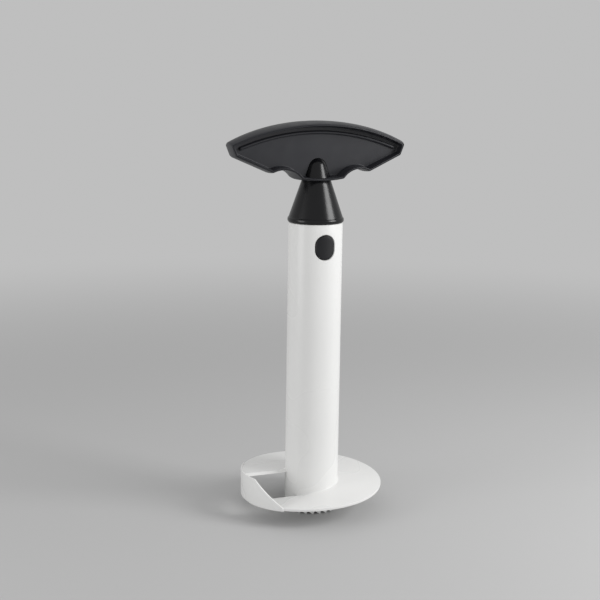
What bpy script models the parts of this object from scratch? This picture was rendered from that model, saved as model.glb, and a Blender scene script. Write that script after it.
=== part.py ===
# Pineapple slicer: a coring tube with a spiral slicing blade, and a T handle that lifts off it.
# Lengths are in metres and +Z is up. The origin is on the tube's axis, at the tips of its saw teeth.
# An azimuth is an angle from the front (-Y) towards +X, so it grows counterclockwise from above.
from math import acos, asin, atan2, ceil, cos, hypot, pi, radians, sin, sqrt, tan

import bmesh
import bpy
from mathutils import Vector

# Fits
CLEARANCE = 0.0003
CUT_OVERRUN = 0.0040
UNION_SINK = 0.0004
MERGE_DISTANCE = 0.000001
SMOOTH_ANGLE = radians(32.0)

# Coring tube
TUBE_RADIUS = 0.0175
TUBE_FLARE = 0.00024
TUBE_WALL = 0.0020
TUBE_TOP = 0.1920
TUBE_CHAMFER = 0.0004
TOOTH_COUNT = 24
TOOTH_HEIGHT = 0.0024
TOOTH_ROOT_BAND = 0.0010
TOOTH_TURN_SHARES = (0.0, 0.45, 0.80, 0.92)
TOOTH_HEIGHT_SHARES = (1.0, 0.45, 0.0, 0.0)

# Spiral blade: one turn of a right-hand screw, with its leading edge at the lower left
BLADE_RADIUS = 0.0465
BLADE_THICKNESS = 0.0017
BLADE_PITCH = 0.0149
BLADE_START = 0.0101
BLADE_CHAMFER = 0.0003
BLADE_STEPS = 72
HALVING_STEPS = 24
LEAD_OFFSET = 0.0105
LEAD_BLEND_SHARE = 0.25
LEAD_EDGE_THICKNESS = 0.0005
LEAD_BEVEL_LENGTH = 0.0040
TRAIL_BEVEL = 0.0020
HUB_FILLET = 0.0014

# Peeling wall that stands on the blade's rim and spans its two ends
PEEL_PROUD = 0.0008
PEEL_THICKNESS = 0.0011
PEEL_LIP = 0.0003
PEEL_FRONT = radians(-44.0)
PEEL_BEND = radians(-73.5)
PEEL_BACK = radians(-125.0)
PEEL_STEP = radians(4.5)

# Cone, from the face that sits over the tube's top
BEAD_PROUD = 0.0007
BEAD_HEIGHT = 0.0030
BEAD_TURNS = [radians(degrees) for degrees in (-90, -50, -15, 15, 50)]
CONE_HEIGHT = 0.0408
CONE_WALL = 0.0022
NOSE_RADIUS = 0.0063
NOSE_STEPS = 8
TURNED_STEPS = 64

# Grip, with its heights above the cone's lower face
GRIP_HALF_WIDTH = 0.0591
GRIP_TOP_RISE = 0.0625
GRIP_TIP_DROP = 0.0132
GRIP_END_LEAN = 0.0031
GRIP_END_HEIGHT = 0.0068
GRIP_CROWN = 0.0017
GRIP_BELLY = 0.0010
GRIP_MID_HALF_DEPTH = 0.0126
GRIP_TIP_HALF_DEPTH = 0.0067
GRIP_DEPTH_SHARES = (0.0, 0.4, 0.75)
GRIP_TOP_STEPS = 28
CUSP_HALF_WIDTH = 0.0328
CUSP_RISE = 0.0324
NOTCH_DEPTH = 0.00356
NOTCH_STEPS = 10
SHELF_HALF_WIDTH = 0.0143
SHELF_END_RISE = 0.0283
SHELF_RISE = 0.0271
SHELF_STEPS = 8
GRIP_WALL = 0.0011
GRIP_EDGE = 0.0003
GRIP_CORNER = 0.0012
RECESS_FILLET = 0.0012
RECESS_HEIGHT_SHARES = (1.0, 0.45, 0.12, 0.0)
RECESS_FILLET_SHARES = (0.0, 0.2, 0.55, 1.0)
WEB_THICKNESS = 0.0044
RIB_WIDTH = 0.0024
RIB_HEIGHT = 0.0015
RIB_TOP_GAP = 0.0055
RIB_END_GAP = 0.0060
RIB_END_DROP = 0.0026
RIB_STEPS = 30
RIB_SIDE_STEPS = 6
RIB_END_TURN_SHARES = (0.0, 0.5)
RIB_END_SIZE_SHARES = (0.35, 0.8)

# Lock plug, inside the tube below the cone
PLUG_LENGTH = 0.0460
PLUG_WALL = 0.0020
PLUG_FLOOR = 0.0020
PLUG_CHAMFER = 0.0008
SPIGOT_STEP = 0.0028
SPIGOT_LENGTH = 0.0085

# Buttons, each at the free end of a spring arm that stands in a window of the plug
BUTTON_HALF_WIDTH = 0.0062
BUTTON_HALF_HEIGHT = 0.0078
BUTTON_DROP = 0.0148
BUTTON_PROUD = 0.0004
BUTTON_EDGE = 0.0006
BUTTON_DOME_SHARES = (0.4, 0.75)
BUTTON_END_STEPS = 12
ARM_STEPS = 8
ARM_SIDE_STEP = 0.0005
ARM_HEAD = 0.0003
ARM_ROOT_RISE = 0.0040
ARM_PIVOT_RISE = 0.0003
WINDOW_HEAD = 0.0008

# Places that follow from the sizes above
BORE_RADIUS = TUBE_RADIUS - TUBE_WALL
TUBE_FOOT_RADIUS = TUBE_RADIUS + TUBE_FLARE
HUB_RADIUS = TUBE_FOOT_RADIUS + CLEARANCE
PEEL_RADIUS = BLADE_RADIUS + PEEL_PROUD
HANDLE_SEAT = TUBE_TOP + CLEARANCE
NOSE_CENTRE = CONE_HEIGHT - NOSE_RADIUS
GRIP_TIP_RISE = GRIP_TOP_RISE - GRIP_TIP_DROP
GRIP_LOW_HALF_WIDTH = GRIP_HALF_WIDTH - GRIP_END_LEAN
GRIP_LOW_RISE = GRIP_TIP_RISE - GRIP_END_HEIGHT
RIB_TOP_RISE = GRIP_TOP_RISE - RIB_TOP_GAP
RIB_HALF_WIDTH = GRIP_HALF_WIDTH - RIB_END_GAP
RIB_END_RISE = GRIP_TIP_RISE - RIB_END_DROP
PLUG_RADIUS = BORE_RADIUS - CLEARANCE
SPIGOT_RADIUS = BORE_RADIUS - SPIGOT_STEP
ARM_ROOT = ARM_ROOT_RISE - PLUG_LENGTH
BUTTON_CENTRE = -BUTTON_DROP
ARM_TOP = BUTTON_CENTRE + BUTTON_HALF_HEIGHT + ARM_HEAD
ARM_PIVOT = Vector((0.0, PLUG_WALL / 2 - PLUG_RADIUS, ARM_ROOT + ARM_PIVOT_RISE))


def make_material(name, colour, roughness):
    material = bpy.data.materials.new(name)
    material.use_nodes = True
    shader = material.node_tree.nodes["Principled BSDF"]
    shader.inputs["Base Color"].default_value = (*colour, 1.0)
    shader.inputs["Roughness"].default_value = roughness
    shader.inputs["Metallic"].default_value = 0.0
    return material


def finish_mesh(bm, name):
    bmesh.ops.remove_doubles(bm, verts=bm.verts, dist=MERGE_DISTANCE)
    bmesh.ops.recalc_face_normals(bm, faces=bm.faces)
    if bm.calc_volume(signed=True) < 0.0:
        bmesh.ops.reverse_faces(bm, faces=bm.faces)
    mesh = bpy.data.meshes.new(name)
    bm.to_mesh(mesh)
    bm.free()
    mesh.shade_smooth()
    mesh.set_sharp_from_angle(angle=SMOOTH_ANGLE)
    return mesh


def add_piece(mesh, name, material=None, parent=None):
    """A named object; one with no material is a shape that a Boolean uses up."""
    piece = bpy.data.objects.new(name, mesh)
    bpy.context.scene.collection.objects.link(piece)
    piece.parent = parent
    if material:
        mesh.materials.append(material)
    else:
        piece.hide_render = True
        piece.display_type = 'WIRE'
    return piece


def combine(piece, other, operation):
    step = piece.modifiers.new(other.name, 'BOOLEAN')
    step.operation = operation
    step.solver = 'EXACT'
    step.object = other


def skin_rings(bm, rings, cap_start=True, cap_end=True):
    """Skin a list of closed rings that have as many points each."""
    loops = [[bm.verts.new(point) for point in ring] for ring in rings]
    for low, high in zip(loops, loops[1:]):
        for i in range(len(low)):
            k = (i + 1) % len(low)
            bm.faces.new((low[i], low[k], high[k], high[i]))
    if cap_start:
        bm.faces.new(reversed(loops[0]))
    if cap_end:
        bm.faces.new(loops[-1])


def turned_mesh(profile, name):
    """Turn a profile of (radius, height) points round the axis."""
    bm = bmesh.new()
    points = [bm.verts.new((radius, 0.0, height)) for radius, height in profile]
    edges = [bm.edges.new(pair) for pair in zip(points, points[1:])]
    bmesh.ops.spin(bm, geom=points + edges, cent=(0, 0, 0), axis=(0, 0, 1),
                   angle=2 * pi, steps=TURNED_STEPS, use_merge=True)
    return finish_mesh(bm, name)


def arc(centre, radius, start, end, steps):
    """Points on an arc in a plane, at angles from its first axis towards its second."""
    turns = [start + (end - start) * i / steps for i in range(steps + 1)]
    return [(centre[0] + radius * cos(a), centre[1] + radius * sin(a)) for a in turns]


def ring_point(radius, azimuth, height):
    return Vector((radius * sin(azimuth), -radius * cos(azimuth), height))


# Coring tube

def tube_radius(height):
    return TUBE_FOOT_RADIUS - TUBE_FLARE * height / TUBE_TOP


def build_tube(material):
    levels = [
        TOOTH_HEIGHT + TOOTH_ROOT_BAND,
        HANDLE_SEAT + BUTTON_CENTRE - 2 * BUTTON_HALF_HEIGHT,
        TUBE_TOP - TUBE_CHAMFER,
    ]
    turns, teeth = [], []
    for tooth in range(TOOTH_COUNT):
        for turn, height in zip(TOOTH_TURN_SHARES, TOOTH_HEIGHT_SHARES):
            turns.append(2 * pi * (tooth + turn) / TOOTH_COUNT)
            teeth.append(TOOTH_HEIGHT * height)

    def ring(radius, heights):
        return [ring_point(radius, a, z) for a, z in zip(turns, heights)]

    def level_ring(radius, height):
        return ring(radius, [height] * len(turns))

    rings = [ring(TUBE_FOOT_RADIUS, teeth)]
    rings += [level_ring(tube_radius(height), height) for height in levels]
    rings.append(level_ring(TUBE_RADIUS - TUBE_CHAMFER, TUBE_TOP))
    rings.append(level_ring(BORE_RADIUS + TUBE_CHAMFER, TUBE_TOP))
    rings += [level_ring(BORE_RADIUS, height) for height in reversed(levels)]
    rings.append(ring(BORE_RADIUS, teeth))
    bm = bmesh.new()
    skin_rings(bm, rings + rings[:1], False, False)
    tube = add_piece(finish_mesh(bm, "core_tube"), "core_tube", material)

    outline = stadium(CLEARANCE)
    reach = TUBE_RADIUS + CUT_OVERRUN
    bm = bmesh.new()
    skin_rings(bm, [[(x, y, HANDLE_SEAT + z) for x, z in outline] for y in (-reach, reach)])
    holes = add_piece(finish_mesh(bm, "button_holes"), "button_holes")
    combine(tube, holes, 'DIFFERENCE')


# Spiral blade with its peeling wall

def rule_point(turn, offset, radius, height):
    """A point of a straight line of the blade that has turned from the left side (-X)."""
    along = sqrt(radius ** 2 - offset ** 2)
    outward = ring_point(1.0, turn - pi / 2, 0.0)
    forward = ring_point(1.0, turn, 0.0)
    return outward * along + forward * offset + Vector((0.0, 0.0, height))


def blade_height(turn):
    return BLADE_START + BLADE_PITCH * turn / (2 * pi)


def lead_offset(share):
    part = min(share / LEAD_BLEND_SHARE, 1.0)
    return LEAD_OFFSET * (1 - part * part * (3 - 2 * part))


def rim_height(azimuth):
    """Height of the blade's underside at its rim, or one pitch below its upper end."""
    if azimuth < -pi / 2:
        return blade_height(azimuth + pi / 2)
    lead = asin(LEAD_OFFSET / BLADE_RADIUS) - pi / 2
    if azimuth < lead:
        return blade_height(0.0)
    low, high = 0.0, LEAD_BLEND_SHARE
    for _ in range(HALVING_STEPS):
        share = (low + high) / 2
        if 2 * pi * share + asin(lead_offset(share) / BLADE_RADIUS) < azimuth + pi / 2:
            low = share
        else:
            high = share
    return blade_height(2 * pi * low)


def blade_shares():
    """Shares of the turn at which the blade has a section, clear of its two bevelled ends."""
    lead = LEAD_BEVEL_LENGTH / BLADE_RADIUS / (2 * pi)
    trail = TRAIL_BEVEL / BLADE_RADIUS / (2 * pi)
    steps = [i / BLADE_STEPS for i in range(BLADE_STEPS)]
    return [0.0, lead] + [share for share in steps if 2 * lead < share < 1 - 2 * trail] + [1.0]


def build_blade(material):
    chamfer = BLADE_CHAMFER
    top = BLADE_THICKNESS
    rings = []
    for share in blade_shares():
        turn = 2 * pi * share
        offset = lead_offset(share)
        bevel = TRAIL_BEVEL if share == 1.0 else 0.0
        cut = BLADE_THICKNESS - LEAD_EDGE_THICKNESS if share == 0.0 else 0.0
        side = min(chamfer, (BLADE_THICKNESS - cut) / 4)
        section = [
            (HUB_RADIUS, cut, 0.0),
            (BLADE_RADIUS - chamfer, cut, 0.0),
            (BLADE_RADIUS, cut + side, bevel / 4),
            (BLADE_RADIUS, top - side, bevel * 3 / 4),
            (BLADE_RADIUS - chamfer, top, bevel),
            (HUB_RADIUS + HUB_FILLET, top, bevel),
            (HUB_RADIUS + HUB_FILLET / 3, top + HUB_FILLET / 3, bevel),
            (HUB_RADIUS, top + HUB_FILLET, bevel),
        ]
        low = blade_height(turn)
        rings.append([rule_point(turn, offset - back * r / BLADE_RADIUS, r, low + z)
                      for r, z, back in section])
    bm = bmesh.new()
    skin_rings(bm, rings)
    blade = add_piece(finish_mesh(bm, "spiral_blade"), "spiral_blade", material)
    combine(blade, build_peel_wall(), 'UNION')


def build_peel_wall():
    def wall_top(azimuth):
        top = blade_height(azimuth + pi / 2) + BLADE_PITCH + BLADE_THICKNESS + PEEL_LIP
        if azimuth <= PEEL_BEND:
            return top
        part = (azimuth - PEEL_BEND) / (PEEL_FRONT - PEEL_BEND)
        bend = blade_height(PEEL_BEND + pi / 2) + BLADE_PITCH + BLADE_THICKNESS + PEEL_LIP
        foot = rim_height(PEEL_FRONT) + BLADE_THICKNESS + PEEL_LIP
        return bend + (foot - bend) * part

    back_steps = ceil((PEEL_BEND - PEEL_BACK) / PEEL_STEP)
    front_steps = ceil((PEEL_FRONT - PEEL_BEND) / PEEL_STEP)
    turns = [PEEL_BACK + (PEEL_BEND - PEEL_BACK) * i / back_steps for i in range(back_steps)]
    turns += [PEEL_BEND + (PEEL_FRONT - PEEL_BEND) * i / front_steps
              for i in range(front_steps + 1)]
    inner = PEEL_RADIUS - PEEL_THICKNESS
    rings = []
    for azimuth in turns:
        low, high = rim_height(azimuth) - PEEL_LIP, wall_top(azimuth)
        edge = PEEL_RADIUS - PEEL_THICKNESS / 4 if azimuth == PEEL_BACK else inner
        rings.append([
            ring_point(edge, azimuth, low),
            ring_point(PEEL_RADIUS, azimuth, low),
            ring_point(PEEL_RADIUS, azimuth, high),
            ring_point(edge, azimuth, high),
        ])
    bm = bmesh.new()
    skin_rings(bm, rings)
    return add_piece(finish_mesh(bm, "peel_wall_shape"), "peel_wall_shape")


# Cone with its nose

def cone_slope():
    """Angle from upright of the line that runs from the bead to touch the nose's ball."""
    drop = BEAD_HEIGHT - NOSE_CENTRE
    return atan2(drop, TUBE_RADIUS) + acos(NOSE_RADIUS / hypot(TUBE_RADIUS, drop))


def cone_skin(offset, steps):
    """Points from the cone's foot to its tip, moved outwards by an offset."""
    slope = cone_slope()
    radius = NOSE_RADIUS + offset
    foot = (TUBE_RADIUS + offset / cos(slope), BEAD_HEIGHT)
    return [foot] + arc((0.0, NOSE_CENTRE), radius, slope, pi / 2, steps)


def build_cone(material, parent):
    socket = SPIGOT_RADIUS + CLEARANCE
    inner_foot, inner_head = cone_skin(-CONE_WALL, 1)[:2]
    part = (inner_foot[0] - socket) / (inner_foot[0] - inner_head[0])
    socket_top = inner_foot[1] + (inner_head[1] - inner_foot[1]) * part
    bead = [(TUBE_RADIUS + BEAD_PROUD * cos(a), BEAD_HEIGHT * (1 + sin(a)) / 2)
            for a in BEAD_TURNS]
    profile = [(0.0, NOSE_CENTRE + NOSE_RADIUS - CONE_WALL)]
    profile += list(reversed(cone_skin(-CONE_WALL, NOSE_STEPS)[1:-1]))
    profile += [(socket, socket_top), (socket, 0.0)]
    profile += bead + cone_skin(0.0, NOSE_STEPS)[:-1]
    profile.append((0.0, CONE_HEIGHT))
    add_piece(turned_mesh(profile, "handle_cone"), "handle_cone", material, parent)


# Grip

def circle_through(half_width, end_rise, top_rise):
    """Centre height and radius of the arc over a chord that is centred on the axis."""
    sag = top_rise - end_rise
    radius = (half_width ** 2 + sag ** 2) / (2 * sag)
    return top_rise - radius, radius


def grip_outline():
    """Sharp outline, counterclockwise from the right tip, as ((x, z), is it a corner)."""
    top_centre, top_radius = circle_through(GRIP_HALF_WIDTH, GRIP_TIP_RISE, GRIP_TOP_RISE)
    lean = asin(GRIP_HALF_WIDTH / top_radius)
    top = arc((0.0, top_centre), top_radius, pi / 2 - lean, pi / 2 + lean, GRIP_TOP_STEPS)

    # the finger notch passes through the cusp and the shelf's end
    cusp = Vector((CUSP_HALF_WIDTH, CUSP_RISE))
    end = Vector((SHELF_HALF_WIDTH, SHELF_END_RISE))
    chord = cusp - end
    across = Vector((chord.y, -chord.x)).normalized()
    rise, radius = circle_through(chord.length / 2, 0.0, NOTCH_DEPTH)
    centre = (cusp + end) / 2 - across * rise
    start = atan2(end.y - centre.y, end.x - centre.x)
    stop = atan2(cusp.y - centre.y, cusp.x - centre.x)
    notch = arc(centre, radius, start, stop, NOTCH_STEPS)

    low_centre, low_radius = circle_through(SHELF_HALF_WIDTH, -SHELF_END_RISE, -SHELF_RISE)
    swing = asin(SHELF_HALF_WIDTH / low_radius)
    shelf = [(x, -z) for x, z in
             arc((0.0, low_centre), low_radius, pi / 2 + swing, pi / 2 - swing, SHELF_STEPS)]

    left = [(-x, z) for x, z in reversed(notch)]
    outline = [(point, point in (top[0], top[-1])) for point in top]
    outline.append(((-GRIP_LOW_HALF_WIDTH, GRIP_LOW_RISE), True))
    outline += [(point, point in (left[0], left[-1])) for point in left]
    outline += [(point, False) for point in shelf[1:-1]]
    outline += [(point, point in (notch[0], notch[-1])) for point in notch]
    outline.append(((GRIP_LOW_HALF_WIDTH, GRIP_LOW_RISE), True))
    return [(Vector(point), corner) for point, corner in outline]


def grip_half_depth(x):
    swell = 1 - (x / GRIP_HALF_WIDTH) ** 2
    return GRIP_TIP_HALF_DEPTH + (GRIP_MID_HALF_DEPTH - GRIP_TIP_HALF_DEPTH) * swell


def grip_swell(point):
    """How far the middle of the grip's depth stands out past its rims."""
    part = (point.y - GRIP_LOW_RISE) / (GRIP_TIP_RISE - GRIP_LOW_RISE)
    swell = GRIP_BELLY + (GRIP_CROWN - GRIP_BELLY) * min(max(part, 0.0), 1.0)
    return swell * (grip_half_depth(point.x) / GRIP_MID_HALF_DEPTH) ** 2


def inset_outline(outline, inset, swell_share):
    """Move each point inwards by the inset, less a share of the grip's swell."""
    moved = []
    for i, (point, corner) in enumerate(outline):
        before = (point - outline[i - 1][0]).normalized()
        after = (outline[(i + 1) % len(outline)][0] - point).normalized()
        inward = Vector((-before.y, before.x))
        side = Vector((-before.y - after.y, before.x + after.x)).normalized()
        distance = inset - grip_swell(point) * swell_share
        moved.append((point + side * (distance / side.dot(inward)), corner))
    return moved


def rounded_outline(outline, radius):
    """Swap each corner for three points of a small arc."""
    points = []
    for i, (point, corner) in enumerate(outline):
        if not corner:
            points.append(point)
            continue
        back = (outline[i - 1][0] - point).normalized()
        ahead = (outline[(i + 1) % len(outline)][0] - point).normalized()
        half = back.angle(ahead) / 2
        run = radius / tan(half)
        middle = point + (back + ahead).normalized() * (radius / sin(half) - radius)
        points += [point + back * run, middle, point + ahead * run]
    return points


def grip_ring(outline, inset, depth_share, setback=0.0):
    """A ring of the grip's outside at a share of its half depth."""
    points = rounded_outline(inset_outline(outline, inset, 1 - depth_share ** 2), GRIP_CORNER)
    return [(p.x, setback - grip_half_depth(p.x) * depth_share, p.y) for p in points]


def recess_ring(outline, height_share, fillet_share):
    """A ring of the recess, at a share of the height from the web to the rim."""
    web = WEB_THICKNESS / 2
    inset = GRIP_WALL + RECESS_FILLET * fillet_share
    points = rounded_outline(inset_outline(outline, inset, 0), GRIP_CORNER)
    return [(p.x, -web - (grip_half_depth(p.x) - web) * height_share, p.y) for p in points]


def build_grip(material, parent):
    outline = grip_outline()
    rings = [grip_ring(outline, 0.0, share) for share in GRIP_DEPTH_SHARES]
    rings.append(grip_ring(outline, 0.0, 1.0, GRIP_EDGE))
    rings.append(grip_ring(outline, GRIP_EDGE, 1.0))
    rings += [recess_ring(outline, height, fillet)
              for height, fillet in zip(RECESS_HEIGHT_SHARES, RECESS_FILLET_SHARES)]
    bm = bmesh.new()
    skin_rings(bm, rings, False, True)
    grip = add_piece(finish_mesh(bm, "handle_grip"), "handle_grip", material, parent)
    other_half = grip.modifiers.new("other_half", 'MIRROR')
    other_half.use_axis = (False, True, False)
    other_half.merge_threshold = MERGE_DISTANCE
    combine(grip, build_ribs(parent), 'UNION')

    # the cone's nose stands through the shelf and the web
    profile = [(0.0, BEAD_HEIGHT)] + cone_skin(CLEARANCE, NOSE_STEPS)[:-1]
    profile.append((0.0, CONE_HEIGHT + CLEARANCE))
    nose = add_piece(turned_mesh(profile, "nose_cutter"), "nose_cutter", None, parent)
    combine(grip, nose, 'DIFFERENCE')


def build_ribs(parent):
    """The raised bead that follows the crown on both faces of the web."""
    centre, radius = circle_through(RIB_HALF_WIDTH, RIB_END_RISE, RIB_TOP_RISE)
    lean = asin(RIB_HALF_WIDTH / radius)
    end_turn = RIB_WIDTH / 2 / radius
    ends = [(end_turn * turn - lean, size)
            for turn, size in zip(RIB_END_TURN_SHARES, RIB_END_SIZE_SHARES)]
    stops = ends + [(end_turn - lean + 2 * (lean - end_turn) * i / RIB_STEPS, 1.0)
                    for i in range(RIB_STEPS + 1)]
    stops += [(-turn, size) for turn, size in reversed(ends)]
    foot = WEB_THICKNESS / 2 - UNION_SINK
    face = WEB_THICKNESS / 2
    rings = []
    for turn, size in stops:
        section = [(RIB_WIDTH / 2, foot), (-RIB_WIDTH / 2, foot)]
        section += [(RIB_WIDTH / 2 * cos(a), face + RIB_HEIGHT * size * sin(a))
                    for a in [pi * k / RIB_SIDE_STEPS for k in range(RIB_SIDE_STEPS, -1, -1)]]
        rings.append([((radius + size * side) * sin(turn), -out,
                       centre + (radius + size * side) * cos(turn)) for side, out in section])
    bm = bmesh.new()
    skin_rings(bm, rings)
    ribs = add_piece(finish_mesh(bm, "rib_shape"), "rib_shape", None, parent)
    both_faces = ribs.modifiers.new("both_faces", 'MIRROR')
    both_faces.use_axis = (False, True, False)
    both_faces.merge_threshold = MERGE_DISTANCE
    return ribs


# Lock plug

def build_plug(material, parent):
    inner = PLUG_RADIUS - PLUG_WALL
    profile = [
        (0.0, -PLUG_LENGTH),
        (PLUG_RADIUS - PLUG_CHAMFER, -PLUG_LENGTH),
        (PLUG_RADIUS, PLUG_CHAMFER - PLUG_LENGTH),
        (PLUG_RADIUS, -CLEARANCE),
        (SPIGOT_RADIUS, -CLEARANCE),
        (SPIGOT_RADIUS, SPIGOT_LENGTH),
        (SPIGOT_RADIUS - PLUG_WALL, SPIGOT_LENGTH),
        (SPIGOT_RADIUS - PLUG_WALL, -PLUG_WALL - CLEARANCE),
        (inner, -PLUG_WALL - CLEARANCE),
        (inner, PLUG_FLOOR - PLUG_LENGTH),
        (0.0, PLUG_FLOOR - PLUG_LENGTH),
    ]
    plug = add_piece(turned_mesh(profile, "lock_plug"), "lock_plug", material, parent)
    half_width = BUTTON_HALF_WIDTH + CLEARANCE
    reach = PLUG_RADIUS + CUT_OVERRUN
    corners = [(-half_width, -reach), (half_width, -reach), (half_width, reach),
               (-half_width, reach)]
    bm = bmesh.new()
    skin_rings(bm, [[(x, y, z) for x, y in corners]
                    for z in (ARM_ROOT - CLEARANCE, ARM_TOP + WINDOW_HEAD)])
    windows = add_piece(finish_mesh(bm, "plug_windows"), "plug_windows", None, parent)
    combine(plug, windows, 'DIFFERENCE')


# Buttons

def stadium(grow):
    """Outline of a button, upright with round ends, as (x, height) points."""
    radius = BUTTON_HALF_WIDTH + grow
    rise = BUTTON_HALF_HEIGHT - BUTTON_HALF_WIDTH
    upper = arc((0.0, BUTTON_CENTRE + rise), radius, 0.0, pi, BUTTON_END_STEPS)
    lower = arc((0.0, BUTTON_CENTRE - rise), radius, pi, 2 * pi, BUTTON_END_STEPS)
    return upper + lower


def button_mesh(parent):
    """Button and spring arm in one, moved so that the arm's root is at the origin."""
    face = TUBE_RADIUS + BUTTON_PROUD
    back = PLUG_RADIUS - PLUG_WALL / 2
    insets = [BUTTON_HALF_WIDTH * share for share in BUTTON_DOME_SHARES]
    layers = [(inset, back) for inset in reversed(insets)]
    layers += [(0.0, back), (0.0, face - 2 * BUTTON_EDGE)]
    layers += [(BUTTON_EDGE / 4, face - BUTTON_EDGE), (BUTTON_EDGE, face - BUTTON_EDGE / 3)]
    layers += [(inset, face) for inset in insets]
    rings = [[(x, -sqrt(radius ** 2 - x ** 2), z) for x, z in stadium(-inset)]
             for inset, radius in layers]
    bm = bmesh.new()
    skin_rings(bm, rings)
    bmesh.ops.translate(bm, verts=bm.verts, vec=-ARM_PIVOT)
    button = add_piece(finish_mesh(bm, "button"), "button_shape", None, parent)

    half_width = BUTTON_HALF_WIDTH - ARM_SIDE_STEP
    inner = PLUG_RADIUS - PLUG_WALL
    places = [half_width * (2 * i / ARM_STEPS - 1) for i in range(ARM_STEPS + 1)]
    section = [(x, -sqrt(PLUG_RADIUS ** 2 - x ** 2)) for x in places]
    section += [(x, -sqrt(inner ** 2 - x ** 2)) for x in reversed(places)]
    bm = bmesh.new()
    skin_rings(bm, [[(x, y, z) for x, y in section] for z in (ARM_ROOT, ARM_TOP)])
    bmesh.ops.translate(bm, verts=bm.verts, vec=-ARM_PIVOT)
    arm = add_piece(finish_mesh(bm, "arm_shape"), "arm_shape", None, parent)
    combine(button, arm, 'UNION')

    depsgraph = bpy.context.evaluated_depsgraph_get()
    mesh = bpy.data.meshes.new_from_object(button.evaluated_get(depsgraph))
    mesh.set_sharp_from_angle(angle=SMOOTH_ANGLE)
    return mesh


def build_buttons(material, parent):
    mesh = button_mesh(parent)
    mesh.materials.append(material)
    for name, turn in (("button_front", 0.0), ("button_rear", pi)):
        button = bpy.data.objects.new(name, mesh)
        bpy.context.scene.collection.objects.link(button)
        button.parent = parent
        side = cos(turn)
        button.location = (0.0, ARM_PIVOT.y * side, ARM_PIVOT.z)
        button.rotation_euler = (0.0, 0.0, turn)


def build():
    for old in list(bpy.data.objects):
        bpy.data.objects.remove(old, do_unlink=True)

    white = make_material("white_plastic", (0.80, 0.80, 0.79), 0.23)
    charcoal = make_material("charcoal_satin", (0.022, 0.0225, 0.026), 0.45)
    black = make_material("black_gloss", (0.005, 0.005, 0.006), 0.33)
    dark = make_material("black_matte", (0.011, 0.0113, 0.013), 0.50)

    handle = bpy.data.objects.new("handle_axis", None)
    bpy.context.scene.collection.objects.link(handle)
    handle.location = (0.0, 0.0, HANDLE_SEAT)

    build_tube(white)
    build_blade(white)
    build_cone(black, handle)
    build_grip(charcoal, handle)
    build_plug(dark, handle)
    build_buttons(dark, handle)


build()
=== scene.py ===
from math import acos, asin, atan2, cos, hypot, pi, radians, sin, sqrt, tan

import bmesh
import bpy
from mathutils import Matrix, Vector


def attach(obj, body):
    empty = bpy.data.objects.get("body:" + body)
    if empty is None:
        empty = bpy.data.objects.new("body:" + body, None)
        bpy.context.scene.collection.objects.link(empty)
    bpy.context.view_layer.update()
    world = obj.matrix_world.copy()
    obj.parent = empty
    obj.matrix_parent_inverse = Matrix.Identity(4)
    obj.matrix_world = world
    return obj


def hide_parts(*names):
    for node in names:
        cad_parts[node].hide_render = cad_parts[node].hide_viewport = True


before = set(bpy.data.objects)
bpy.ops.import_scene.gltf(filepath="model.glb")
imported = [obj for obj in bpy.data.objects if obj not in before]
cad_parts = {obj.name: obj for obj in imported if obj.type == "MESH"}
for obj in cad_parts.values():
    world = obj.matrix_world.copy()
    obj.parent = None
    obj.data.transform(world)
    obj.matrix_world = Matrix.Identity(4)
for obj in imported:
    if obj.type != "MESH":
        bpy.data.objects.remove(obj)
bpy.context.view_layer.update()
print("loaded", len(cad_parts), "nodes")


# mesh helpers

mergeDistance = 0.000002
sharpAngle = radians(32)


def startRing(bm, points):
    ring = [bm.verts.new(point) for point in points]
    for i in range(len(ring)):
        bm.edges.new((ring[i - 1], ring[i]))
    return ring


def growRing(bm, ring, points):
    # extrudes a closed ring of edges and moves the new ring to its points
    edges = [bm.edges.get((ring[i - 1], ring[i])) for i in range(len(ring))]
    made = bmesh.ops.extrude_edge_only(bm, edges=edges)["geom"]
    fresh = {item for item in made if isinstance(item, bmesh.types.BMVert)}
    grown = []
    for vert, point in zip(ring, points):
        twin = next(edge.other_vert(vert) for edge in vert.link_edges
                    if edge.other_vert(vert) in fresh)
        twin.co = point
        grown.append(twin)
    return grown


def growRings(bm, rings, capStart=True):
    ring = startRing(bm, rings[0])
    if capStart:
        bm.faces.new(ring)
    for points in rings[1:]:
        ring = growRing(bm, ring, points)
    bm.faces.new(ring)


def spinProfile(bm, profile, steps):
    points = [bm.verts.new((radius, 0, height)) for radius, height in profile]
    edges = [bm.edges.new(pair) for pair in zip(points, points[1:])]
    bmesh.ops.spin(bm, geom=points + edges, cent=(0, 0, 0), axis=(0, 0, 1), dvec=(0, 0, 0),
                   angle=2 * pi, steps=steps, use_merge=True, use_normal_flip=False,
                   use_duplicate=False)


def finishPiece(bm, name, material):
    bmesh.ops.remove_doubles(bm, verts=bm.verts, dist=mergeDistance)
    bmesh.ops.recalc_face_normals(bm, faces=bm.faces)
    if bm.calc_volume(signed=True) < 0:
        bmesh.ops.reverse_faces(bm, faces=bm.faces)
    mesh = bpy.data.meshes.new(name)
    bm.to_mesh(mesh)
    bm.free()
    mesh.shade_smooth()
    mesh.set_sharp_from_angle(angle=sharpAngle)
    mesh.materials.append(material)
    piece = bpy.data.objects.new(name, mesh)
    bpy.context.scene.collection.objects.link(piece)
    return piece


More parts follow.
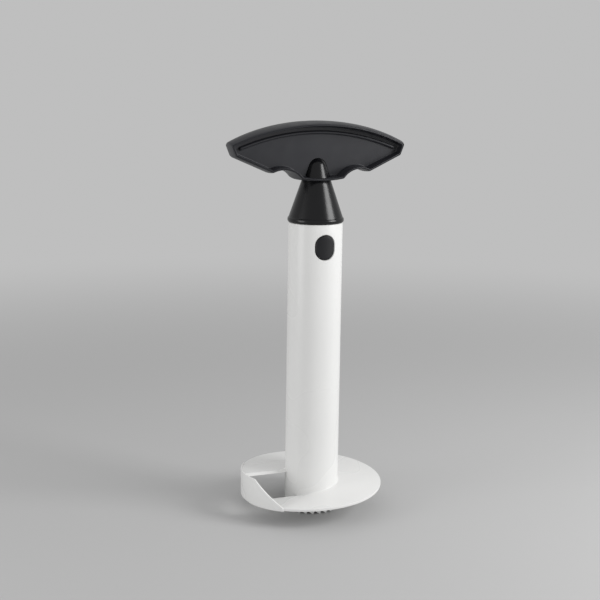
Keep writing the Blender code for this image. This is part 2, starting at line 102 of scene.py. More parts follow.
def cutPiece(piece, tool):
    # cuts the tool out of the piece and throws the tool away
    cut = piece.modifiers.new("cut", "BOOLEAN")
    cut.operation = "DIFFERENCE"
    cut.solver = "EXACT"
    cut.object = tool
    seen = bpy.context.evaluated_depsgraph_get()
    mesh = bpy.data.meshes.new_from_object(piece.evaluated_get(seen))
    piece.modifiers.clear()
    piece.data = mesh
    bpy.data.objects.remove(tool, do_unlink=True)
    mesh.set_sharp_from_angle(angle=sharpAngle)


def arcPoints(centre, radius, start, end, steps):
    turns = [start + (end - start) * i / steps for i in range(steps + 1)]
    return [Vector((centre[0] + radius * cos(a), centre[1] + radius * sin(a))) for a in turns]


def around(radius, azimuth, height):
    # azimuth runs from the front (-Y) towards +X
    return Vector((radius * sin(azimuth), -radius * cos(azimuth), height))


# materials

noiseSet = {"low": 0.3, "high": 0.7, "detail": 2, "wearRoughness": 0.6}


def newMaterial(name, colour, roughness):
    material = bpy.data.materials.new(name)
    material.use_nodes = True
    shader = material.node_tree.nodes["Principled BSDF"]
    shader.inputs["Base Color"].default_value = (*colour, 1)
    shader.inputs["Roughness"].default_value = roughness
    return material, material.node_tree, shader


def addNode(tree, kind, **settings):
    node = tree.nodes.new(kind)
    for key, value in settings.items():
        setattr(node, key, value)
    return node


def addNoise(tree, place, scale, detail, roughness=0.5):
    noise = addNode(tree, "ShaderNodeTexNoise")
    noise.inputs["Scale"].default_value = scale
    noise.inputs["Detail"].default_value = detail
    noise.inputs["Roughness"].default_value = roughness
    tree.links.new(place, noise.inputs["Vector"])
    return noise.outputs["Fac"]


def addRange(tree, value, low, high):
    spread = addNode(tree, "ShaderNodeMapRange")
    spread.inputs["From Min"].default_value = noiseSet["low"]
    spread.inputs["From Max"].default_value = noiseSet["high"]
    spread.inputs["To Min"].default_value = low
    spread.inputs["To Max"].default_value = high
    tree.links.new(value, spread.inputs["Value"])
    return spread.outputs["Result"]


def addShades(tree, value, dark, pale):
    ramp = addNode(tree, "ShaderNodeValToRGB")
    ramp.color_ramp.elements[0].position = noiseSet["low"]
    ramp.color_ramp.elements[0].color = (*dark, 1)
    ramp.color_ramp.elements[1].position = noiseSet["high"]
    ramp.color_ramp.elements[1].color = (*pale, 1)
    tree.links.new(value, ramp.inputs["Fac"])
    return ramp.outputs["Color"]


def addGrain(tree, shader, heights, strength, distance):
    bump = addNode(tree, "ShaderNodeBump")
    bump.inputs["Strength"].default_value = strength
    bump.inputs["Distance"].default_value = distance
    tree.links.new(heights, bump.inputs["Height"])
    tree.links.new(bump.outputs["Normal"], shader.inputs["Normal"])


def mouldedPlastic(name, finish):
    material, tree, shader = newMaterial(name, finish["pale"], finish["roughness"][0])
    place = addNode(tree, "ShaderNodeTexCoord").outputs["Object"]
    cloud = addNoise(tree, place, finish["cloudScale"], noiseSet["detail"])
    tree.links.new(addShades(tree, cloud, finish["dark"], finish["pale"]),
                   shader.inputs["Base Color"])
    wear = addNoise(tree, place, finish["wearScale"], finish["wearDetail"],
                    noiseSet["wearRoughness"])
    tree.links.new(addRange(tree, wear, *finish["roughness"]), shader.inputs["Roughness"])
    grain = addNoise(tree, place, finish["grainScale"], noiseSet["detail"])
    addGrain(tree, shader, grain, finish["grain"], finish["grainDepth"])
    shader.inputs["Specular IOR Level"].default_value = finish["specular"]
    return material


whiteFinish = {
    "dark": (0.775, 0.775, 0.765), "pale": (0.80, 0.80, 0.79),
    "roughness": (0.26, 0.30), "cloudScale": 12, "wearScale": 20, "wearDetail": 1,
    "grainScale": 700, "grain": 0.015, "grainDepth": 0.0001, "specular": 0.40,
}
gripFinish = {
    "dark": (0.019, 0.0195, 0.024), "pale": (0.025, 0.0255, 0.030),
    "roughness": (0.36, 0.44), "cloudScale": 40, "wearScale": 160, "wearDetail": 4,
    "grainScale": 2200, "grain": 0.2, "grainDepth": 0.0001, "specular": 0.4,
}
coneFinish = {
    "dark": (0.002, 0.002, 0.003), "pale": (0.004, 0.004, 0.005),
    "roughness": (0.21, 0.26), "cloudScale": 40, "wearScale": 220, "wearDetail": 3,
    "grainScale": 900, "grain": 0.05, "grainDepth": 0.0001, "specular": 0.38,
}
buttonFinish = {
    "dark": (0.008, 0.0083, 0.010), "pale": (0.012, 0.0123, 0.014),
    "roughness": (0.46, 0.56), "cloudScale": 90, "wearScale": 260, "wearDetail": 4,
    "grainScale": 2600, "grain": 0.3, "grainDepth": 0.0001, "specular": 0.3,
}
whitePlastic = mouldedPlastic("whitePlastic", whiteFinish)
gripPlastic = mouldedPlastic("gripPlastic", gripFinish)
conePlastic = mouldedPlastic("conePlastic", coneFinish)
buttonPlastic = mouldedPlastic("buttonPlastic", buttonFinish)
print("materials ready")


# coring tube

tubeSet = {
    "radius": 0.0175, "flare": 0.00024, "wall": 0.0020, "top": 0.1920, "lip": 0.0005,
    "lipSteps": 4, "teeth": 24, "toothSteps": 12, "toothHeight": 0.0024,
    "toothTurns": (0.0, 0.45, 0.80, 0.92, 1.0), "toothShares": (1.0, 0.45, 0.0, 0.0, 1.0),
    "levels": (0.0034, 0.03, 0.145, 0.155),
}
buttonSet = {
    "halfWidth": 0.0062, "halfHeight": 0.0078, "height": 0.1775, "face": 0.0179,
    "back": 0.0142, "edge": 0.0008, "edgeSteps": 6, "endSteps": 28, "gap": 0.0003,
    "holeEdge": 0.0004, "cutEnd": 0.0205, "domeShares": (0.35, 0.55, 0.75, 0.9),
    "armHalfWidth": 0.0057, "armFace": 0.0152, "armBack": 0.0132,
    "armFoot": 0.1503, "armHead": 0.1856, "armSteps": 12,
}


def tubeRadius(spec, height):
    return spec["radius"] + spec["flare"] * (1 - height / spec["top"])


def toothLift(spec, share):
    turns, shares = spec["toothTurns"], spec["toothShares"]
    for i in range(len(turns) - 1):
        if share <= turns[i + 1]:
            part = (share - turns[i]) / (turns[i + 1] - turns[i])
            return spec["toothHeight"] * (shares[i] + (shares[i + 1] - shares[i]) * part)


def stadiumPoints(spec, grow):
    # outline of a button as (x, z) points
    radius = spec["halfWidth"] + grow
    rise = spec["halfHeight"] - spec["halfWidth"]
    upper = arcPoints((0, spec["height"] + rise), radius, 0, pi, spec["endSteps"])
    lower = arcPoints((0, spec["height"] - rise), radius, pi, 2 * pi, spec["endSteps"])
    return upper + lower


def buttonRings(spec, layers, side):
    # rings of the button's outline, each bent round the tube's axis
    return [[(p.x, side * sqrt(radius ** 2 - p.x ** 2), p.y) for p in stadiumPoints(spec, -inset)]
            for inset, radius in layers]


def makeTube(spec, button):
    bore = spec["radius"] - spec["wall"]
    lip, lipSteps = spec["lip"], spec["lipSteps"]
    profile = [(tubeRadius(spec, 0), 0)]
    profile += [(tubeRadius(spec, height), height) for height in spec["levels"]]
    outer = arcPoints((spec["radius"] - lip, spec["top"] - lip), lip, 0, pi / 2, lipSteps)
    inner = arcPoints((bore + lip, spec["top"] - lip), lip, pi / 2, pi, lipSteps)
    profile += [tuple(point) for point in outer + inner]
    profile += [(bore, height) for height in reversed(spec["levels"])]
    profile += [(bore, 0), profile[0]]
    bm = bmesh.new()
    steps = spec["teeth"] * spec["toothSteps"]
    spinProfile(bm, profile, steps)
    for vert in bm.verts:
        if vert.co.z < spec["toothHeight"]:
            step = round(atan2(vert.co.x, -vert.co.y) / (2 * pi) * steps)
            vert.co.z = toothLift(spec, step % spec["toothSteps"] / spec["toothSteps"])
    tube = finishPiece(bm, "coringTube", whitePlastic)
    deep, out = spec["radius"] - button["holeEdge"], spec["radius"] + button["holeEdge"]
    layers = [(-button["gap"], button["armBack"]), (-button["gap"], deep),
              (-button["gap"] - 2 * button["holeEdge"], out)]
    for side in (-1, 1):
        rings = buttonRings(button, layers, side)
        # the last ring is flat and outside the tube, so that the cap clears the curved wall
        rings.append([(x, side * button["cutEnd"], z) for x, y, z in rings[-1]])
        bm = bmesh.new()
        growRings(bm, rings)
        cutPiece(tube, finishPiece(bm, "buttonHole", whitePlastic))
    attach(tube, "blade_unit")
    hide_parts("core_tube")


makeTube(tubeSet, buttonSet)
print("tube ready")


# buttons

def makeButton(spec, name, side, node, body):
    edge = spec["edge"]
    layers = [(spec["halfWidth"] * share, spec["back"]) for share in reversed(spec["domeShares"])]
    layers += [(0, spec["back"]), (0, spec["face"] - 2 * edge)]
    for i in range(spec["edgeSteps"] + 1):
        turn = pi / 2 * i / spec["edgeSteps"]
        layers.append((edge * (1 - cos(turn)), spec["face"] - edge * (1 - sin(turn))))
    layers += [(spec["halfWidth"] * share, spec["face"]) for share in spec["domeShares"]]
    bm = bmesh.new()
    growRings(bm, buttonRings(spec, layers, side))
    places = [spec["armHalfWidth"] * (2 * i / spec["armSteps"] - 1)
              for i in range(spec["armSteps"] + 1)]
    section = [(x, side * sqrt(spec["armFace"] ** 2 - x ** 2)) for x in places]
    section += [(x, side * sqrt(spec["armBack"] ** 2 - x ** 2)) for x in reversed(places)]
    growRings(bm, [[(x, y, z) for x, y in section] for z in (spec["armFoot"], spec["armHead"])])
    button = finishPiece(bm, name, buttonPlastic)
    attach(button, body)
    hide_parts(node)


makeButton(buttonSet, "frontButton", -1, "button_front", "front_button")
makeButton(buttonSet, "rearButton", 1, "button_rear", "rear_button")
print("buttons ready")


# spiral blade

bladeSet = {
    "radius": 0.0465, "hub": 0.01765, "thickness": 0.0017, "pitch": 0.0149, "start": 0.0101,
    "steps": 216, "edge": 0.00022, "edgeSteps": 3, "edgeLimit": 2.5,
    "fillet": 0.0009, "filletSteps": 5, "leadOffset": 0.0105, "leadBlend": 0.25,
    "leadEdge": 0.0005, "leadBevel": 0.0040, "leadClear": 1.3, "trailBevel": 0.0020,
    "trailClear": 1.1, "halvings": 24,
}
wallSet = {
    "radius": 0.0473, "thickness": 0.0011, "lip": 0.0003, "edge": 0.00025,
    "chamfer": 0.00075, "front": radians(-44.5), "bend": radians(-73.5), "back": radians(-125.0),
    "step": radians(1.0), "toe": radians(4.5), "toeThin": 0.75,
}


def bladeHeight(spec, turn):
    return spec["start"] + spec["pitch"] * turn / (2 * pi)


def leadOffset(spec, share):
    part = min(share / spec["leadBlend"], 1)
    return spec["leadOffset"] * (1 - part * part * (3 - 2 * part))


def bladePoint(turn, offset, radius, height):
    # a point of a straight line that has turned from the left side (-X)
    along = sqrt(radius ** 2 - offset ** 2)
    return around(along, turn - pi / 2, height) + around(offset, turn, 0)


def bladeSection(spec, thin, back):
    # (radius, height, set back) round the section; thin is cut off its underside
    edge = min(spec["edge"], (spec["thickness"] - thin) / spec["edgeLimit"])
    rim, top = spec["radius"] - edge, spec["thickness"]
    low = arcPoints((rim, thin + edge), edge, -pi / 2, 0, spec["edgeSteps"])
    high = arcPoints((rim, top - edge), edge, 0, pi / 2, spec["edgeSteps"])
    foot = spec["hub"] + spec["fillet"]
    fillet = arcPoints((foot, top + spec["fillet"]), spec["fillet"], -pi / 2, -pi,
                       spec["filletSteps"])
    rows = [(spec["hub"], thin, 0)] + [(p.x, p.y, 0) for p in low]
    rows += [(p.x, p.y, back * (i + 1) / len(high)) for i, p in enumerate(high)]
    return rows + [(p.x, p.y, back) for p in fillet]


def rimHeight(spec, azimuth):
    # underside of the rim, or one pitch below the blade's upper end
    if azimuth < -pi / 2:
        return bladeHeight(spec, azimuth + pi / 2)
    if azimuth < asin(spec["leadOffset"] / spec["radius"]) - pi / 2:
        return bladeHeight(spec, 0)
    low, high = 0, spec["leadBlend"]
    for _ in range(spec["halvings"]):
        share = (low + high) / 2
        reach = 2 * pi * share + asin(leadOffset(spec, share) / spec["radius"])
        low, high = (share, high) if reach < azimuth + pi / 2 else (low, share)
    return bladeHeight(spec, 2 * pi * low)


def wallTop(spec, wall, azimuth):
    above = spec["thickness"] + wall["lip"]
    if azimuth <= wall["bend"]:
        return bladeHeight(spec, azimuth + pi / 2) + spec["pitch"] + above
    part = (azimuth - wall["bend"]) / (wall["front"] - wall["bend"])
    bend = bladeHeight(spec, wall["bend"] + pi / 2) + spec["pitch"] + above
    return bend + (rimHeight(spec, wall["front"]) + above - bend) * part


def makeBlade(spec, wall):
    lead = spec["leadBevel"] / spec["radius"] / (2 * pi)
    trail = spec["trailBevel"] / spec["hub"] / (2 * pi)
    steps = [i / spec["steps"] for i in range(spec["steps"])]
    first, last = spec["leadClear"] * lead, 1 - spec["trailClear"] * trail
    shares = [0, lead / 2, lead] + [share for share in steps if first < share < last] + [1]
    rings = []
    for share in shares:
        turn, offset = 2 * pi * share, leadOffset(spec, share)
        thin = (spec["thickness"] - spec["leadEdge"]) * max(1 - share / lead, 0)
        back = spec["trailBevel"] if share == 1 else 0
        rings.append([bladePoint(turn, offset - setBack, r,
                                 bladeHeight(spec, turn - setBack / r) + z)
                      for r, z, setBack in bladeSection(spec, thin, back)])
    bm = bmesh.new()
    growRings(bm, rings)

    turns = [wall["back"]]
    while turns[-1] < wall["front"] - wall["step"] / 2:
        turns.append(min(turns[-1] + wall["step"], wall["front"]))
    rings = []
    for azimuth in turns + [wall["front"] + wall["chamfer"] / wall["radius"]]:
        low, high = rimHeight(spec, azimuth) - wall["lip"], wallTop(spec, wall, azimuth)
        toe = max(1 - (azimuth - wall["back"]) / wall["toe"], 0)
        inner = wall["radius"] - wall["thickness"] * (1 - wall["toeThin"] * toe)
        outer = wall["radius"] - (wall["chamfer"] if azimuth > wall["front"] else 0)
        edge = min(wall["edge"], (outer - inner) / spec["edgeLimit"])
        corners = [((outer - edge, low + edge), -pi / 2), ((outer - edge, high - edge), 0),
                   ((inner + edge, high - edge), pi / 2), ((inner + edge, low + edge), pi)]
        section = [p for centre, turn in corners
                   for p in arcPoints(centre, edge, turn, turn + pi / 2, spec["edgeSteps"])]
        rings.append([around(p.x, azimuth, p.y) for p in section])
    growRings(bm, rings)
    blade = finishPiece(bm, "spiralBlade", whitePlastic)
    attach(blade, "blade_unit")
    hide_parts("spiral_blade")


makeBlade(bladeSet, wallSet)
print("blade ready")


# cone with its nose

handleSeat = 0.1923
coneSet = {
    "seat": handleSeat, "foot": 0.0175, "bead": 0.0007, "beadHeight": 0.0030, "beadSteps": 12,
    "height": 0.0408, "wall": 0.0022, "nose": 0.0063, "noseSteps": 24, "socket": 0.0130,
    "steps": 192,
}


def coneSlope(spec):
    drop = spec["beadHeight"] - (spec["height"] - spec["nose"])
    return atan2(drop, spec["foot"]) + acos(spec["nose"] / hypot(spec["foot"], drop))


def coneSkin(spec, offset, steps):
    # points from the foot to the tip, moved outwards by the offset
    slope = coneSlope(spec)
    nose = (0, spec["height"] - spec["nose"])
    foot = Vector((spec["foot"] + offset / cos(slope), spec["beadHeight"]))
    return [foot] + arcPoints(nose, spec["nose"] + offset, slope, pi / 2, steps)


def makeCone(spec):
    foot, head = coneSkin(spec, -spec["wall"], 1)[:2]
    part = (foot.x - spec["socket"]) / (foot.x - head.x)
    bead = [(spec["foot"] + spec["bead"] * cos(a), spec["beadHeight"] * (1 + sin(a)) / 2)
            for a in [pi * (i / spec["beadSteps"] - 0.5) for i in range(spec["beadSteps"] + 1)]]
    inner = coneSkin(spec, -spec["wall"], spec["noseSteps"])[1:]
    profile = [tuple(point) for point in reversed(inner)]
    profile += [(spec["socket"], foot.y + (head.y - foot.y) * part), (spec["socket"], 0)]
    profile += bead[:-2] + [tuple(p) for p in coneSkin(spec, 0, spec["noseSteps"])]
    profile = [(max(r, 0), z + spec["seat"]) for r, z in profile]
    bm = bmesh.new()
    spinProfile(bm, profile, spec["steps"])
    cone = finishPiece(bm, "cone", conePlastic)
    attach(cone, "handle")
    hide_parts("handle_cone")


makeCone(coneSet)
print("cone ready")


# grip

gripSet = {
    "seat": handleSeat, "halfWidth": 0.05899, "top": 0.0625, "tip": 0.0493,
    "lowHalfWidth": 0.0560, "low": 0.0425, "crown": 0.0017, "belly": 0.0010, "midHalfDepth": 0.0126,
    "tipHalfDepth": 0.0067, "topSteps": 96, "cusp": (0.0328, 0.0324), "notch": 0.0144,
    "notchSteps": 26, "shelfEnd": (0.0143, 0.0283), "shelf": 0.0271, "shelfSteps": 20,
    "depthShares": (0, 0.15, 0.30, 0.45, 0.60, 0.72, 0.83, 0.92), "wall": 0.0012,
    "edge": 0.00028, "edgeSteps": 4, "step": 0.00020, "groove": 0.0004, "bead": 0.00032,
    "beadSteps": 8, "lift": 0.00125, "sag": 0.0007, "corner": 0.0014, "cornerSteps": 6,
    "flare": 0.0012, "flareSteps": 10, "flareEven": 0.35, "flareFoot": 0.15,
    "web": 0.0044, "webMargin": 0.0003, "webWithin": 0.00001, "webFacing": 0.999,
    "noseGap": 0.0003, "noseSteps": 96,
}
ribSet = {
    "seat": handleSeat, "halfWidth": 0.0531, "top": 0.0570, "end": 0.0467, "width": 0.0024,
    "height": 0.0018, "sink": 0.0004, "web": 0.0044, "steps": 96, "sides": 12, "endSteps": 5,
}


def circleThrough(halfWidth, endRise, topRise):
    # centre height and radius of the arc over a chord that is centred on the axis
    sag = topRise - endRise
    radius = (halfWidth ** 2 + sag ** 2) / (2 * sag)
    return topRise - radius, radius


def gripOutline(spec):
    # sharp outline from the right tip over the top, as [point, is it a corner]
    centre, radius = circleThrough(spec["halfWidth"], spec["tip"], spec["top"])
    lean = asin(spec["halfWidth"] / radius)
    top = arcPoints((0, centre), radius, pi / 2 - lean, pi / 2 + lean, spec["topSteps"])
    cusp, end = Vector(spec["cusp"]), Vector(spec["shelfEnd"])
    chord = cusp - end
    across = Vector((chord.y, -chord.x)).normalized()
    hub = (cusp + end) / 2 + across * sqrt(spec["notch"] ** 2 - (chord.length / 2) ** 2)
    start, stop = end - hub, cusp - hub
    notch = arcPoints(hub, spec["notch"], atan2(start.y, start.x), atan2(stop.y, stop.x),
                      spec["notchSteps"])
    centre, radius = circleThrough(end.x, -end.y, -spec["shelf"])
    swing = asin(end.x / radius)
    shelf = [Vector((p.x, -p.y)) for p in
             arcPoints((0, centre), radius, pi / 2 + swing, pi / 2 - swing, spec["shelfSteps"])]
    left = [Vector((-p.x, p.y)) for p in reversed(notch)]
    outline = [[point, point in (top[0], top[-1])] for point in top]
    outline.append([Vector((-spec["lowHalfWidth"], spec["low"])), True])
    outline += [[point, point in (left[0], left[-1])] for point in left]
    outline += [[point, False] for point in shelf[1:-1]]
    outline += [[point, point in (notch[0], notch[-1])] for point in notch]
    outline.append([Vector((spec["lowHalfWidth"], spec["low"])), True])
    return outline


def gripHalfDepth(spec, x):
    swell = 1 - (x / spec["halfWidth"]) ** 2
    return spec["tipHalfDepth"] + (spec["midHalfDepth"] - spec["tipHalfDepth"]) * swell


def gripSwell(spec, point):
    part = min(max((point.y - spec["low"]) / (spec["tip"] - spec["low"]), 0), 1)
    swell = spec["belly"] + (spec["crown"] - spec["belly"]) * part
    return swell * (gripHalfDepth(spec, point.x) / spec["midHalfDepth"]) ** 2


def gripLift(spec, point):
    # the crown is fuller towards the tips, and so are the two low corners
    if point.y < spec["low"]:
        return 0
    if point.y < spec["tip"]:
        return -spec["sag"]
    return spec["lift"] * (1 - (1 - (point.x / spec["halfWidth"]) ** 2) ** 2)


def insetOutline(spec, outline, inset, swellShare):
    moved = []
    for i, (point, _) in enumerate(outline):
        before = (point - outline[i - 1][0]).normalized()
        after = (outline[(i + 1) % len(outline)][0] - point).normalized()
        inward = Vector((-before.y, before.x))
        side = Vector((-before.y - after.y, before.x + after.x)).normalized()
        distance = inset - gripSwell(spec, point) * swellShare
        lift = Vector((0, gripLift(spec, point) * swellShare))
        moved.append(point + side * (distance / side.dot(inward)) + lift)
    return moved


def splitRuns(outline, moved):
    # the runs between corners, without the points that the inset pushed past a corner
    corners = [i for i, (_, corner) in enumerate(outline) if corner]
    runs = []
    for first, last in zip(corners, corners[1:] + [corners[0] + len(outline)]):
        run = [moved[i % len(moved)] for i in range(first, last + 1)]
        chord = run[-1] - run[0]
        inner = [point for point in run[1:-1]
                 if 0 < (point - run[0]).dot(chord) < chord.length_squared]
        runs.append([[run[0], *inner, run[-1]], last - first])
    return runs


def spreadRun(points, headCut, tailCut, steps):
    # points spread evenly between the two cuts
    ends = [0]
    for before, after in zip(points, points[1:]):
        ends.append(ends[-1] + (after - before).length)
    spread, place = [], 0
    for k in range(1, steps):
        goal = headCut + (ends[-1] - headCut - tailCut) * k / steps
        while ends[place + 1] < goal:
            place += 1
        share = (goal - ends[place]) / (ends[place + 1] - ends[place])
        spread.append(points[place].lerp(points[place + 1], share))
    return spread


def roundCorner(before, corner, after, radius, steps):
    # points of the rounding, and how far it reaches along the two sides
    back, ahead = (before - corner).normalized(), (after - corner).normalized()
    half = back.angle(ahead) / 2
    reach = radius / tan(half)
    centre = corner + (back + ahead).normalized() * (radius / sin(half))
    first, last = corner + back * reach - centre, corner + ahead * reach - centre
    turn = last.angle_signed(first)
    return [centre + Matrix.Rotation(turn * k / steps, 2) @ first
            for k in range(steps + 1)], reach


def gripRing(spec, outline, inset, swellShare, depthAt):
    runs = splitRuns(outline, insetOutline(spec, outline, inset, swellShare))
    rounds = [roundCorner(runs[i - 1][0][-2], runs[i][0][0], runs[i][0][1], spec["corner"],
                          spec["cornerSteps"])
              for i in range(len(runs))]
    points = []
    for i, (run, steps) in enumerate(runs):
        arc, headCut = rounds[i]
        tailCut = rounds[(i + 1) % len(runs)][1]
        points += arc + spreadRun(run, headCut, tailCut, steps)
    return [(p.x, -depthAt(gripHalfDepth(spec, p.x)), spec["seat"] + p.y) for p in points]


def flattenWeb(grip, spec):
    # the two large faces of the web are shaded flat
    for face in grip.data.polygons:
        away = abs(abs(face.center.y) - spec["web"] / 2)
        if abs(face.normal.y) > spec["webFacing"] and away < spec["webWithin"]:
            face.use_smooth = False


def makeGrip(spec, cone):
    outline = gripOutline(spec)
    web, edge, bead = spec["web"] / 2, spec["edge"], spec["bead"]
    rings = [gripRing(spec, outline, 0, 1 - share ** 2, lambda depth, s=share: depth * s)
             for share in spec["depthShares"]]

    # the rim: a rounded edge, a fine groove and a bead that stands a little prouder
    rim = [(edge * (1 - cos(turn)), spec["step"] + edge * (1 - sin(turn)))
           for turn in [pi / 2 * i / spec["edgeSteps"] for i in range(spec["edgeSteps"] + 1)]]
    rim += [(inset, spec["step"] + spec["groove"]) for inset in (edge, spec["wall"] - 2 * bead)]
    rim += [(spec["wall"] - bead * (1 + cos(turn)), bead * (1 - sin(turn)))
            for turn in [pi * i / spec["beadSteps"] for i in range(spec["beadSteps"] + 1)]]
    rings += [gripRing(spec, outline, inset, 0, lambda depth, d=drop: depth - d)
              for inset, drop in rim]
    for i in range(1, spec["flareSteps"] + 1):
        height = 1 - sin(pi / 2 * i / spec["flareSteps"])
        foot = 1 - min(height / spec["flareFoot"], 1)
        flare = spec["flare"] * (spec["flareEven"] * (1 - height)
                                 + (1 - spec["flareEven"]) * (1 - sqrt(1 - foot ** 2)))
        rings.append(gripRing(spec, outline, spec["wall"] + flare, 0,
                              lambda depth, h=height: web + (depth - bead - web) * h))
    rings.append(gripRing(spec, outline, spec["wall"] + spec["flare"] + spec["webMargin"], 0,
                          lambda depth: web))
    bm = bmesh.new()
    growRings(bm, rings, False)
    bmesh.ops.mirror(bm, geom=bm.verts[:] + bm.edges[:] + bm.faces[:], axis="Y",
                     merge_dist=mergeDistance)
    grip = finishPiece(bm, "grip", gripPlastic)
    bm = bmesh.new()
    nose = [(0, cone["beadHeight"])]
    nose += [tuple(p) for p in coneSkin(cone, spec["noseGap"], cone["noseSteps"])]
    spinProfile(bm, [(max(r, 0), z + cone["seat"]) for r, z in nose], spec["noseSteps"])
    cutPiece(grip, finishPiece(bm, "noseHole", gripPlastic))
    flattenWeb(grip, spec)
    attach(grip, "handle")
    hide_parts("handle_grip")


def makeRibs(spec):
    # the raised bead that follows the crown on both faces of the web
    centre, radius = circleThrough(spec["halfWidth"], spec["end"], spec["top"])
    lean, half = asin(spec["halfWidth"] / radius), spec["width"] / 2
    endTurn = half / radius
    stops = []
    for i in range(spec["endSteps"]):
        part = pi / 2 * (i + 0.5) / spec["endSteps"]
        stops.append((-lean + endTurn * (1 - cos(part)), sin(part)))
    stops += [((lean - endTurn) * (2 * i / spec["steps"] - 1), 1) for i in range(spec["steps"] + 1)]
    stops += [(-turn, size) for turn, size in reversed(stops[:spec["endSteps"]])]
    face = spec["web"] / 2
    rings = []
    for turn, size in stops:
        section = [(half, face - spec["sink"]), (-half, face - spec["sink"])]
        section += [(half * cos(pi - pi * k / spec["sides"]),
                     face + spec["height"] * size * sin(pi * k / spec["sides"]))
                    for k in range(spec["sides"] + 1)]
        rings.append([((radius + size * side) * sin(turn), -out,
                       spec["seat"] + centre + (radius + size * side) * cos(turn))
                      for side, out in section])
    bm = bmesh.new()
    growRings(bm, rings)
    bmesh.ops.mirror(bm, geom=bm.verts[:] + bm.edges[:] + bm.faces[:], axis="Y", merge_dist=0)
    ribs = finishPiece(bm, "gripRibs", gripPlastic)
    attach(ribs, "handle")


makeGrip(gripSet, coneSet)
makeRibs(ribSet)
print("grip ready")


# lock plug

plugSet = {
    "seat": handleSeat, "length": 0.0460, "radius": 0.0152, "wall": 0.0020, "edge": 0.0008,
    "spigot": 0.0127, "spigotTop": 0.0085, "gap": 0.0003, "steps": 128,
    "windowHalfWidth": 0.0065, "windowFoot": -0.0423, "windowHead": -0.0059,
}


def makePlug(spec):
    wall, gap, foot = spec["wall"], spec["gap"], -spec["length"]
    bore, hollow = spec["spigot"] - wall, spec["radius"] - wall
    profile = [(0, foot), (spec["radius"] - spec["edge"], foot)]
    profile += [(spec["radius"], foot + spec["edge"]), (spec["radius"], -gap)]
    profile += [(spec["spigot"], -gap), (spec["spigot"], spec["spigotTop"])]
    profile += [(bore, spec["spigotTop"]), (bore, -wall - gap)]
    profile += [(hollow, -wall - gap), (hollow, foot + wall), (0, foot + wall)]
    bm = bmesh.new()
    spinProfile(bm, [(r, z + spec["seat"]) for r, z in profile], spec["steps"])
    plug = finishPiece(bm, "lockPlug", buttonPlastic)
    bm = bmesh.new()
    tall = spec["windowHead"] - spec["windowFoot"]
    middle = spec["seat"] + (spec["windowHead"] + spec["windowFoot"]) / 2
    size = Matrix.Diagonal((2 * spec["windowHalfWidth"], 4 * spec["radius"], tall, 1))
    bmesh.ops.create_cube(bm, size=1, matrix=Matrix.Translation((0, 0, middle)) @ size)
    cutPiece(plug, finishPiece(bm, "plugWindow", buttonPlastic))
    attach(plug, "handle")
    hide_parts("lock_plug")


makePlug(plugSet)
print("plug ready")


# floor, light and camera

stageSet = {
    "floorSize": 8.0, "floorColour": (0.50, 0.50, 0.50), "floorRoughness": 0.7,
    "floorSpecular": 0.2, "backdrop": (0.52, 0.52, 0.52), "skyLight": 0.62,
    "blendFrom": 0.30, "blendTo": 1.10,
}
lampAim = Vector((0, 0, 0.13))
lampSet = {
    "keyRight": {"place": (0.55, -0.44, 0.42), "size": (0.36, 0.42), "power": 4.0},
    "fillLeft": {"place": (-0.75, -0.10, 0.20), "size": (0.35, 0.50), "power": 1.6},
}
cameraSet = {
    "place": (-0.28509, -0.69291, 0.2875), "look": (0.3621, 0.9120, -0.1925),
    "roll": radians(0.83), "focal": 1170.5, "picture": 600, "sensor": 36.0,
}


def addSeenRays(tree):
    # 1 for rays from the camera, a reflection or a clear material
    path = addNode(tree, "ShaderNodeLightPath")
    seen = path.outputs["Is Camera Ray"]
    for kind in ("Is Glossy Ray", "Is Transmission Ray"):
        either = addNode(tree, "ShaderNodeMath", operation="MAXIMUM")
        tree.links.new(seen, either.inputs[0])
        tree.links.new(path.outputs[kind], either.inputs[1])
        seen = either.outputs[0]
    return seen


def makeFloor(spec):
    bm = bmesh.new()
    bmesh.ops.create_grid(bm, x_segments=1, y_segments=1, size=spec["floorSize"] / 2)
    mesh = bpy.data.meshes.new("floor")
    bm.to_mesh(mesh)
    bm.free()
    floor = bpy.data.objects.new("floor", mesh)
    bpy.context.scene.collection.objects.link(floor)
    material, tree, shader = newMaterial("paleFloor", spec["floorColour"],
                                         spec["floorRoughness"])
    shader.inputs["Specular IOR Level"].default_value = spec["floorSpecular"]

    # the floor fades into the backdrop, so no horizon shows
    place = addNode(tree, "ShaderNodeTexCoord").outputs["Object"]
    away = addNode(tree, "ShaderNodeVectorMath", operation="LENGTH")
    tree.links.new(place, away.inputs[0])
    fade = addNode(tree, "ShaderNodeMapRange", interpolation_type="SMOOTHSTEP")
    fade.inputs["From Min"].default_value = spec["blendFrom"]
    fade.inputs["From Max"].default_value = spec["blendTo"]
    tree.links.new(away.outputs["Value"], fade.inputs["Value"])
    share = addNode(tree, "ShaderNodeMath", operation="MULTIPLY")
    tree.links.new(fade.outputs["Result"], share.inputs[0])
    tree.links.new(addSeenRays(tree), share.inputs[1])
    glow = addNode(tree, "ShaderNodeEmission")
    glow.inputs["Color"].default_value = (*spec["backdrop"], 1)
    mix = addNode(tree, "ShaderNodeMixShader")
    tree.links.new(share.outputs[0], mix.inputs["Fac"])
    tree.links.new(shader.outputs[0], mix.inputs[1])
    tree.links.new(glow.outputs[0], mix.inputs[2])
    tree.links.new(mix.outputs[0], tree.nodes["Material Output"].inputs["Surface"])
    mesh.materials.append(material)


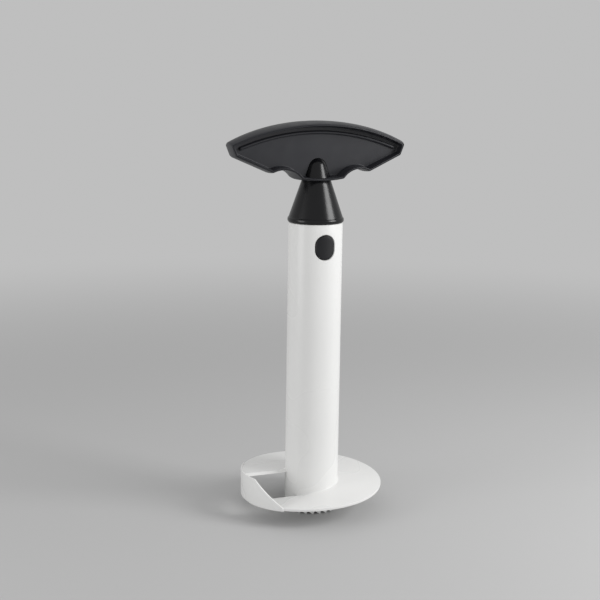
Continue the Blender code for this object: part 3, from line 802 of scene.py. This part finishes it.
def makeWorld(spec):
    world = bpy.data.worlds.new("studio")
    bpy.context.scene.world = world
    world.use_nodes = True
    tree = world.node_tree
    tree.nodes.clear()
    output = addNode(tree, "ShaderNodeOutputWorld")
    light = addNode(tree, "ShaderNodeBackground")
    light.inputs["Color"].default_value = (1, 1, 1, 1)
    light.inputs["Strength"].default_value = spec["skyLight"]
    backdrop = addNode(tree, "ShaderNodeBackground")
    backdrop.inputs["Color"].default_value = (*spec["backdrop"], 1)
    mix = addNode(tree, "ShaderNodeMixShader")
    tree.links.new(addSeenRays(tree), mix.inputs["Fac"])
    tree.links.new(light.outputs[0], mix.inputs[1])
    tree.links.new(backdrop.outputs[0], mix.inputs[2])
    tree.links.new(mix.outputs[0], output.inputs["Surface"])


def makeLamp(name, spec):
    lamp = bpy.data.lights.new(name, "AREA")
    lamp.shape = "RECTANGLE"
    lamp.size, lamp.size_y = spec["size"]
    lamp.energy = spec["power"]
    holder = bpy.data.objects.new(name, lamp)
    bpy.context.scene.collection.objects.link(holder)
    holder.location = spec["place"]
    aim = lampAim - Vector(spec["place"])
    holder.rotation_euler = aim.to_track_quat("-Z", "Y").to_euler()


def makeCamera(spec):
    ahead = Vector(spec["look"]).normalized()
    level = ahead.cross(Vector((0, 0, 1))).normalized()
    upright = level.cross(ahead)
    right = cos(spec["roll"]) * level + sin(spec["roll"]) * upright
    up = -sin(spec["roll"]) * level + cos(spec["roll"]) * upright
    lens = bpy.data.cameras.new("camera")
    lens.sensor_width = spec["sensor"]
    lens.lens = spec["focal"] / spec["picture"] * spec["sensor"]
    camera = bpy.data.objects.new("camera", lens)
    bpy.context.scene.collection.objects.link(camera)
    turned = Matrix((right, up, -ahead)).transposed().to_4x4()
    turned.translation = Vector(spec["place"])
    camera.matrix_world = turned
    bpy.context.scene.camera = camera


makeFloor(stageSet)
makeWorld(stageSet)
for name, spec in lampSet.items():
    makeLamp(name, spec)
makeCamera(cameraSet)
bpy.context.scene.view_settings.view_transform = "Standard"
print("studio ready")
